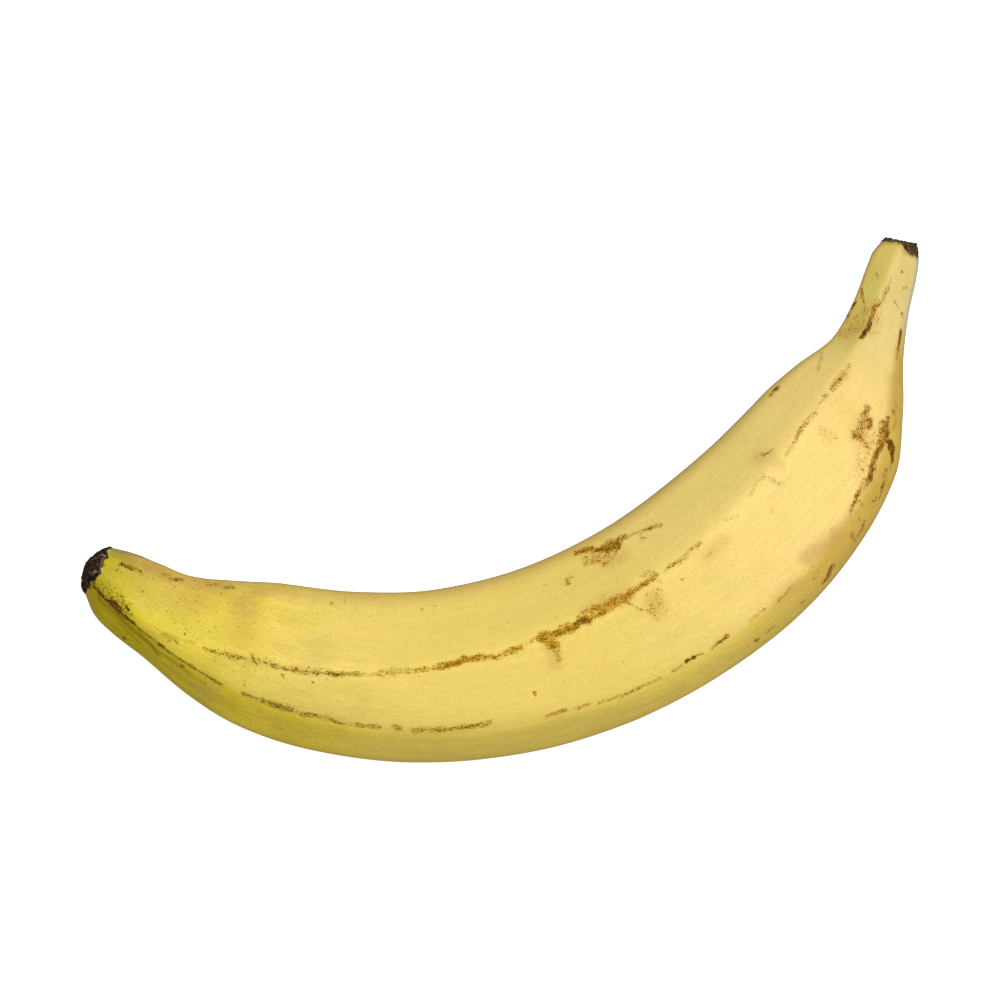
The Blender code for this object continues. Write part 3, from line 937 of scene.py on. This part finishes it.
class Nodes:
    """The nodes of one material."""

    def __init__(self, name):
        self.material = bpy.data.materials.new(name)
        self.material.use_nodes = True
        self.tree = self.material.node_tree
        self.tree.nodes.clear()

    def node(self, kind, settings, inputs, output=0):
        """Adds a node: its settings first, then values or links for its sockets. Gives one output."""
        made = self.tree.nodes.new(kind)
        for name, value in settings.items():
            if name == "stops":
                self.set_stops(made.color_ramp, value)
            else:
                setattr(made, name, value)
        for name, value in inputs.items():
            if isinstance(value, Wire):
                self.tree.links.new(value.socket, made.inputs[name])
            else:
                made.inputs[name].default_value = value
        return Wire(self, made.outputs[output]) if made.outputs else None

    def set_stops(self, ramp, stops):
        ramp.interpolation = "EASE"
        while len(ramp.elements) < len(stops):
            ramp.elements.new(1)
        for element, (position, colour) in zip(ramp.elements, stops):
            element.position = position
            element.color = (*colour, 1)

    def maths(self, operation, *values):
        return self.node("ShaderNodeMath", {"operation": operation}, dict(enumerate(values)))

    def number(self, name):
        return self.node("ShaderNodeAttribute", {"attribute_name": name}, {}, "Fac")

    def vector(self, name):
        return self.node("ShaderNodeAttribute", {"attribute_name": name}, {}, "Vector")

    def noise(self, place, size, detail=2.0, roughness=0.5, distortion=0.0):
        inputs = {
            "Vector": place,
            "Scale": 1 / size,
            "Detail": detail,
            "Roughness": roughness,
            "Distortion": distortion,
        }
        return self.node("ShaderNodeTexNoise", {}, inputs, "Fac")

    def mix(self, amount, first, second, blend="MIX"):
        first = first if isinstance(first, Wire) else (*first, 1)
        second = second if isinstance(second, Wire) else (*second, 1)
        settings = {"data_type": "RGBA", "blend_type": blend, "clamp_factor": True}
        return self.node("ShaderNodeMix", settings, {0: amount, MIX_A: first, MIX_B: second}, MIX_RESULT)

    def ramp(self, position, stops):
        return self.node("ShaderNodeValToRGB", {"stops": stops}, {"Fac": position}, "Color")

    def finished(self, inputs):
        """Adds the shader with these inputs, and gives the material."""
        shader = self.node("ShaderNodeBsdfPrincipled", {}, inputs)
        self.node("ShaderNodeOutputMaterial", {}, {"Surface": shader})
        return self.material


def peel_colour(nodes, look, skin, fibres, share):
    """Colour of clean peel: stations along the fruit, other ones on the outer side with painted light toward
    the scar and painted shade toward the stem, mottling and fibres.
    """
    outer_side = nodes.number("outer")
    upper_stops = (
        (0.02, look.tip_green),
        (0.10, look.shoulder),
        (0.24, look.pale_yellow),
        (0.48, look.pale_yellow),
        (0.72, look.warm_yellow),
        (0.86, look.warm_yellow),
        (0.905, look.neck_yellow),
        (0.985, look.stem_green),
    )
    # The outer side's ramp: the peel's own tone, lightened as painted light on the scar half and darkened to
    # ochre as painted shade on the stem half.
    outer_tone_and_shading_stops = (
        (0.03, look.outer_tip),
        (0.19, look.outer_shoulder_and_light),
        (0.34, look.outer_belly_and_light),
        (0.55, look.outer_belly_and_light),
        (0.76, look.outer_ochre_and_shade),
        (0.88, look.outer_ochre_and_shade),
        (0.95, look.outer_neck),
    )
    # The inner facet's tint: partly its own green, partly painted shade.
    colour = nodes.mix(nodes.number("tint"), nodes.ramp(share, upper_stops), look.inner_green_and_shade)
    colour = nodes.mix(outer_side, colour, nodes.ramp(share, outer_tone_and_shading_stops))
    colour = nodes.mix(nodes.number("inner"), colour, look.inner_rim)

    unripe = 1 - share.rise(0.06, 0.42)
    green_patches = nodes.noise(skin.stretched(0.5, 1, 1), 9, 3).rise(0.46, 0.68)
    colour = nodes.mix(green_patches * (0.07 + unripe * 0.26), colour, look.tip_green)
    tan_patches = nodes.noise(skin.stretched(0.6, 1, 1), 7, 4).rise(0.50, 0.70)
    colour = nodes.mix(tan_patches * (0.09 + unripe * 0.26), colour, look.inner_rim)
    bands = nodes.noise(fibres.stretched(1 / 5, 1, 1), 3.0, 5, 0.65).rise(0.40, 0.68)
    at_tip = 1 - share.rise(0.06, 0.30)
    colour = nodes.mix(bands * outer_side * (0.08 + at_tip * 0.22), colour, look.olive)
    olive = nodes.number("olive") * (0.6 + nodes.noise(fibres.stretched(1 / 6, 1, 1), 1.1, 3) * 0.8)
    colour = nodes.mix(olive.least(1.0), colour, look.olive)

    streaks = nodes.noise(fibres.stretched(1 / 24, 1, 1), 1.2, 2)
    fine = nodes.noise(fibres.stretched(1 / 8, 1, 1), 0.42, 2)
    pores = nodes.noise(skin, 0.31, 2, 0.7)
    patches = nodes.noise(skin.stretched(0.7, 1, 1), 1.3, 2)
    coarse = 0.54 + outer_side * 0.34 + share.rise(0.3, 0.7) * 0.34 - share.rise(0.84, 0.92) * 0.40
    shade = (streaks - 0.5) * 0.13 + (fine - 0.5) * 0.16 + (pores - 0.5) * coarse + (patches - 0.5) * 0.11
    shade = shade * (0.8 + unripe * 0.6) + 0.98
    grey = nodes.node("ShaderNodeCombineColor", {}, {0: shade, 1: shade, 2: shade * 1.5 - 0.5})
    return nodes.mix(1.0, colour, grey, "MULTIPLY")


def scattered(nodes, skin, cell, crowd, largest):
    """Round dots of varying size, one at most in each cell. crowd is the share of cells that have one."""
    settings = {"feature": "F1"}
    inputs = {"Vector": skin, "Scale": 1 / cell}
    distance = nodes.node("ShaderNodeTexVoronoi", settings, inputs) * cell
    tone = nodes.node("ShaderNodeTexVoronoi", settings, inputs, "Color")
    pick = nodes.node("ShaderNodeSeparateColor", {}, {0: tone}, 0)
    luck = nodes.node("ShaderNodeSeparateColor", {}, {0: tone}, 1)
    size = (luck * luck * 0.6 + 0.4) * largest
    return (1 - distance.rise(size * 0.5, size)) * (pick - (1 - crowd)).rise(0.0, 0.04)


def freckle_dots(nodes, skin, share):
    """Freckles and finer specks, more of them on the unripe half and most at the flower scar."""
    unripe = 1 - share.rise(0.08, 0.30)
    at_scar = 1 - share.rise(0.07, 0.18)
    crowd = nodes.noise(skin, 26, 1).rise(0.44, 0.64) * 0.12 + unripe * 0.70 + 0.03
    freckles = scattered(nodes, skin.stretched(0.8, 1, 1), 2.3, crowd, 0.52)
    specks = scattered(nodes, skin, 1.1, crowd * 0.8 + at_scar * 0.5 + 0.08, 0.38)
    return (freckles * (0.42 + unripe * 0.24)).most(specks * (0.34 + unripe * 0.32))


def scuffed(nodes, look, skin, share, colour):
    """The colour with the scuffs on it, broken up by strokes, grit and threads, and where they are."""
    cover = nodes.number("scuff")
    dark = nodes.number("dark")
    strokes = nodes.noise(skin.stretched(0.4, 1, 1), 0.33, 2, 0.6, 0.5)
    grit = nodes.noise(skin, 0.28, 1)
    clumps = nodes.noise(skin.stretched(0.5, 1, 1), 1.6, 2)
    bends = nodes.noise(skin.stretched(0.6, 1, 1), 0.9, 2, 0.5, 0.8)
    threads = 1 - abs(bends - 0.5).rise(0.0, 0.07)
    field = (strokes - 0.5) * 1.3 + (grit - 0.5) * 0.9 + (clumps - 0.5) * 0.6 - threads * 0.18 + 0.55
    depth = cover - field
    mark = depth.rise(0.0, 0.09) * cover.rise(0.03, 0.14)
    young = 1 - share.rise(0.16, 0.42)
    light = nodes.mix(young * 0.7, look.scuff_light, look.olive)
    light = nodes.mix(share.rise(0.45, 0.75) * 0.6, light, look.stain)
    colour = nodes.mix(cover.rise(0.05, 0.85) * 0.36, colour, light)
    tone = nodes.noise(skin.stretched(0.5, 1, 1), 0.9, 2)
    middle = nodes.mix(young * 0.55, look.scuff_brown, look.olive)
    brown = nodes.mix((depth + (tone - 0.5) * 1.2).rise(0.0, 0.45), light, middle)
    deep = (depth + (tone - 0.5) * 0.9).rise(0.08, 0.52)
    brown = nodes.mix(deep * dark.least(1.0), brown, look.scuff_dark)
    brown = nodes.mix(deep * (dark - 1).most(0.0), brown, look.crust_dark)
    return nodes.mix(mark, colour, brown), mark


def dried_ends(nodes, look, skin, colour):
    """The colour with the scar's crust and the stem's dried rim on it, and where they are. The crust has
    painted shade in the hollows of its folds and a painted highlight on its crests.
    """
    crust = nodes.number("crust")
    stem = nodes.number("stem")
    fold = nodes.number("fold")
    ragged = nodes.noise(skin, 0.7, 3)
    in_crust = (crust + (ragged - 0.5) * 0.9).rise(-0.10, 0.10)
    in_stem = (stem + (ragged - 0.5) * 1.3).rise(-0.22, 0.18)
    singed = ((stem + 1.8).rise(0.0, 1.9) * (ragged * 1.4)).least(1.0)
    colour = nodes.mix(singed * 0.45, colour, look.scuff_light)
    smoked = (stem + 1.2).rise(0.0, 1.3) * (0.5 + ragged * 0.6)
    colour = nodes.mix(smoked * 0.6, colour, look.crust_brown)
    chips = nodes.noise(skin, 0.5, 4, 0.65)
    # Painted shade: near black in the hollows of the folds, the crust's brown on their tops.
    crust_colour = nodes.mix(fold.rise(0.0, 0.7), look.crust_dark, look.crust_brown)
    crust_colour = nodes.mix(chips.rise(0.46, 0.64) * 0.6, crust_colour, look.crust_dark)
    # Pale crests, partly wear and partly painted highlight.
    crest_wear_and_highlight = fold.rise(0.8, 1.0) * nodes.noise(skin, 3.0, 1).rise(0.5, 0.62) * 0.5
    crest_wear_and_highlight = crest_wear_and_highlight.most(nodes.number("crest").rise(0.48, 0.92) * chips.rise(0.28, 0.48))
    crust_colour = nodes.mix(crest_wear_and_highlight * 0.75, crust_colour, look.crust_pale_and_highlight)
    colour = nodes.mix(in_crust, colour, crust_colour)
    stem_colour = nodes.mix(chips.rise(0.38, 0.60), look.crust_dark, look.crust_brown)
    return nodes.mix(in_stem, colour, stem_colour), in_crust.most(in_stem)


def peel_material(look):
    """Ripening peel with fibres, stains, freckles, scuffs, a crusted flower scar and a dried stem, with
    painted light and shade on the outer side, the inner facet, the inner top edge and the crust.
    """
    nodes = Nodes("peel")
    skin = nodes.vector("straight")
    fibres = nodes.vector("fibres")
    share = nodes.number("share")
    colour = peel_colour(nodes, look, skin, fibres, share)
    # Stains, with some painted shade along the inner top edge of the scar half.
    stained_and_shaded = (nodes.number("stain") * (0.5 + nodes.noise(skin, 1.4, 3))).least(1.0)
    colour = nodes.mix(stained_and_shaded * 0.65, colour, look.stain)
    dots = freckle_dots(nodes, skin, share)
    colour = nodes.mix(dots, colour, look.freckle)
    colour, mark = scuffed(nodes, look, skin, share, colour)
    colour, dried = dried_ends(nodes, look, skin, colour)

    rough = look.roughness + (nodes.noise(skin, 6, 2) - 0.5) * 0.10 + mark * 0.22 + stained_and_shaded * 0.05
    rough = rough.most(dried * 0.74)

    relief = nodes.noise(fibres.stretched(1 / 22, 1, 1), 1.5, 2) * 0.06
    relief = relief + nodes.noise(skin, 0.5, 2) * 0.03 + nodes.noise(skin, 3.5, 2) * 0.06
    relief = relief + mark * 0.03 - dots * 0.012
    relief = relief + nodes.noise(skin, 0.7, 4, 0.65) * 0.5 * dried
    bump = nodes.node("ShaderNodeBump", {}, {"Strength": 1.0, "Distance": MM, "Height": relief}, "Normal")

    return nodes.finished(
        {
            "Base Color": colour,
            "Roughness": rough,
            "Normal": bump,
            "Specular IOR Level": 0.1,
            "Subsurface Weight": 0.05,
            "Subsurface Radius": (0.004, 0.002, 0.0008),
            "Subsurface Scale": 1.0,
        }
    )


def plain_material(name, colour, glow):
    """Matt material of one colour that may give off some light."""
    return Nodes(name).finished(
        {
            "Base Color": (*colour, 1),
            "Roughness": 0.9,
            "Specular IOR Level": 0.1,
            "Emission Color": (1, 1, 1, 1),
            "Emission Strength": glow,
        }
    )


class PLANTAIN_OT_fruit(bpy.types.Operator):
    """Build the plantain: one closed piece with ridges, dried flower scar, cut stem and marks"""

    bl_idname = "plantain.fruit"
    bl_label = "Build the fruit"

    def execute(self, context):
        scene = context.scene
        mesh = bpy.data.meshes.new("plantain_peel")
        form = straight_cylinder()
        form.to_mesh(mesh)
        form.free()
        peel = Peel(mesh, scene.plantain_shape)
        photo = Photo(peel, scene.plantain_studio.camera_height)
        crust = crust_depth(peel, photo)
        stem = stem_depth(peel)
        fold = fold_height(peel, crust)
        crest = paint_patches(peel, paths_of(peel, photo, CRESTS), CREST_EDGE)
        self.store_marks(peel, photo)
        self.store_facets(peel)
        store(mesh, crust=crust, stem=stem, fold=fold, crest=crest)
        self.shape_relief(peel, scene.plantain_shape, crust, stem, fold + crest)
        self.close(mesh)
        fruit = bpy.data.objects.new("plantain_peel", mesh)
        fruit.data.materials.append(peel_material(scene.plantain_peel))
        scene.collection.objects.link(fruit)
        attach(fruit, "root")
        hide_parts("plantain")
        return {"FINISHED"}

    def store_marks(self, peel, photo):
        """Stores the scuffs, stains and olive patches."""
        hidden = list(HIDDEN_SCUFFS) + ridge_scuffs()
        cover, dark = paint_scuffs(peel, paths_of(peel, photo, SCUFFS, hidden))
        stain = paint_patches(peel, paths_of(peel, photo, STAINS_AND_EDGE_SHADE, HIDDEN_STAINS), PATCH_EDGE)
        olive = paint_patches(peel, paths_of(peel, photo, OLIVES), PATCH_EDGE)
        store(peel.mesh, scuff=cover, dark=dark, stain=stain, olive=olive)

    def store_facets(self, peel):
        """Stores where each point is along and round the fruit, and on which facets."""
        along_it = peel.share * peel.body.length
        round_it = FIBRE_RADIUS * np.cos(peel.angle), FIBRE_RADIUS * np.sin(peel.angle)
        fibres = np.stack([along_it, *round_it], axis=1)
        store(peel.mesh, straight=peel.straight, fibres=fibres, share=peel.share)
        lane = (peel.lane + 1) % len(RIDGES)
        # The outer side's mask also carries its painted light and shade, and the greener facet's tint
        # carries some painted shade.
        past_ridge = OUTER_SHIFT * smooth(*OUTER_SHIFT_SHARES, peel.share)
        outer = smooth(*OUTER_START, lane) * (1 - smooth(*OUTER_STOP, lane - past_ridge))
        inner = smooth(*INNER_START, lane) * (1 - smooth(*INNER_STOP, lane))
        facet = smooth(*FACET_START, lane) * (1 - smooth(*INNER_STOP, lane))
        store(peel.mesh, outer=outer, inner=inner, tint=facet * along(INNER_TINT_AND_SHADE, peel.share))

    def shape_relief(self, peel, shape, crust, stem, folds):
        """Low swellings over the peel, folds in the crust and a torn rim on the stem."""
        swell = grain(peel.straight * SWELL_STRETCH, SWELL_SIZE, SWELL_DETAIL) * shape.undulation / MM
        in_crust = smooth(*CRUST_RISE, crust)
        in_stem = smooth(*STEM_RISE, stem)
        lumps = (folds - FOLD_LEVEL) * shape.wrinkle_depth / MM + waver(peel.straight, CRUST_LUMPS)
        torn = waver(peel.straight, STEM_TEARS)
        peel.push(swell * (1 - in_crust) * (1 - in_stem) + lumps * in_crust + torn * in_stem)

    def close(self, mesh):
        """Cuts the faces into triangles that point outward, shaded smooth."""
        form = bmesh.new()
        form.from_mesh(mesh)
        bmesh.ops.triangulate(form, faces=form.faces)
        bmesh.ops.recalc_face_normals(form, faces=form.faces)
        form.to_mesh(mesh)
        form.free()
        mesh.shade_smooth()


class PLANTAIN_OT_studio(bpy.types.Operator):
    """Set up the pale floor, the soft lights and the camera over the fruit"""

    bl_idname = "plantain.studio"
    bl_label = "Set up the studio"

    def execute(self, context):
        scene = context.scene
        studio = scene.plantain_studio
        self.floor(scene, studio)
        self.lights(scene, studio)
        self.camera(scene, studio)
        scene.view_settings.view_transform = "Standard"
        return {"FINISHED"}

    def floor(self, scene, studio):
        """A white floor that shows, and a greyer card just under it that sends light back from below."""
        white = plain_material("studio floor", studio.floor_colour, studio.floor_glow)
        shown = self.disc(scene, "studio_floor", 0, white)
        shown.visible_diffuse = False
        shown.visible_glossy = False
        shown.visible_shadow = False
        grey = plain_material("bounce card", studio.card_colour, 0)
        card = self.disc(scene, "bounce_card", -CARD_DEPTH, grey)
        card.visible_camera = False

    def disc(self, scene, name, height, material):
        form = bmesh.new()
        bmesh.ops.create_circle(form, cap_ends=True, segments=FLOOR_SIDES, radius=FLOOR_RADIUS)
        bmesh.ops.translate(form, vec=(0, 0, height), verts=form.verts)
        mesh = bpy.data.meshes.new(name)
        form.to_mesh(mesh)
        form.free()
        mesh.materials.append(material)
        disc = bpy.data.objects.new(name, mesh)
        scene.collection.objects.link(disc)
        return disc

    def lights(self, scene, studio):
        softbox = bpy.data.lights.new("softbox", "AREA")
        softbox.energy = studio.key_power
        softbox.size = studio.key_size
        place = Vector(SOFTBOX_WAY).normalized() * SOFTBOX_DISTANCE
        lamp = bpy.data.objects.new("softbox", softbox)
        lamp.location = place
        lamp.rotation_euler = place.to_track_quat("Z", "Y").to_euler()
        lamp.visible_camera = False
        scene.collection.objects.link(lamp)
        world = bpy.data.worlds.new("room")
        world.use_nodes = True
        background = world.node_tree.nodes["Background"]
        background.inputs["Color"].default_value = (1, 1, 1, 1)
        background.inputs["Strength"].default_value = studio.fill
        scene.world = world

    def camera(self, scene, studio):
        camera = bpy.data.cameras.new("camera")
        camera.sensor_width = SENSOR_WIDTH
        distance = studio.camera_height / MM - PHOTO_PLANE
        camera.lens = SENSOR_WIDTH * distance / (PHOTO_PIXEL * PHOTO_SIDE)
        camera.clip_end = CAMERA_REACH
        holder = bpy.data.objects.new("camera", camera)
        holder.location = (PHOTO_MIDDLE[0] * MM, PHOTO_MIDDLE[1] * MM, studio.camera_height)
        holder.rotation_euler = (0, 0, -PHOTO_TURN)
        scene.collection.objects.link(holder)
        scene.camera = holder


class PLANTAIN_PT_panel(bpy.types.Panel):
    """Plantain tools"""

    bl_label = "Plantain"
    bl_space_type = "VIEW_3D"
    bl_region_type = "UI"
    bl_category = "Plantain"

    def draw(self, context):
        scene = context.scene
        for group in (scene.plantain_shape, scene.plantain_peel, scene.plantain_studio):
            box = self.layout.box()
            for name in group.bl_rna.properties.keys():
                if name not in ("rna_type", "name"):
                    box.prop(group, name)
        self.layout.operator(PLANTAIN_OT_fruit.bl_idname)
        self.layout.operator(PLANTAIN_OT_studio.bl_idname)


GROUPS = (PlantainShape, PlantainPeel, PlantainStudio)
CLASSES = (*GROUPS, PLANTAIN_OT_fruit, PLANTAIN_OT_studio, PLANTAIN_PT_panel)


def register():
    for added in CLASSES:
        bpy.utils.register_class(added)
    bpy.types.Scene.plantain_shape = bpy.props.PointerProperty(type=PlantainShape)
    bpy.types.Scene.plantain_peel = bpy.props.PointerProperty(type=PlantainPeel)
    bpy.types.Scene.plantain_studio = bpy.props.PointerProperty(type=PlantainStudio)


def unregister():
    del bpy.types.Scene.plantain_studio
    del bpy.types.Scene.plantain_peel
    del bpy.types.Scene.plantain_shape
    for added in reversed(CLASSES):
        bpy.utils.unregister_class(added)


def main():
    register()
    bpy.ops.plantain.fruit()
    bpy.ops.plantain.studio()


if __name__ == "__main__":
    main()
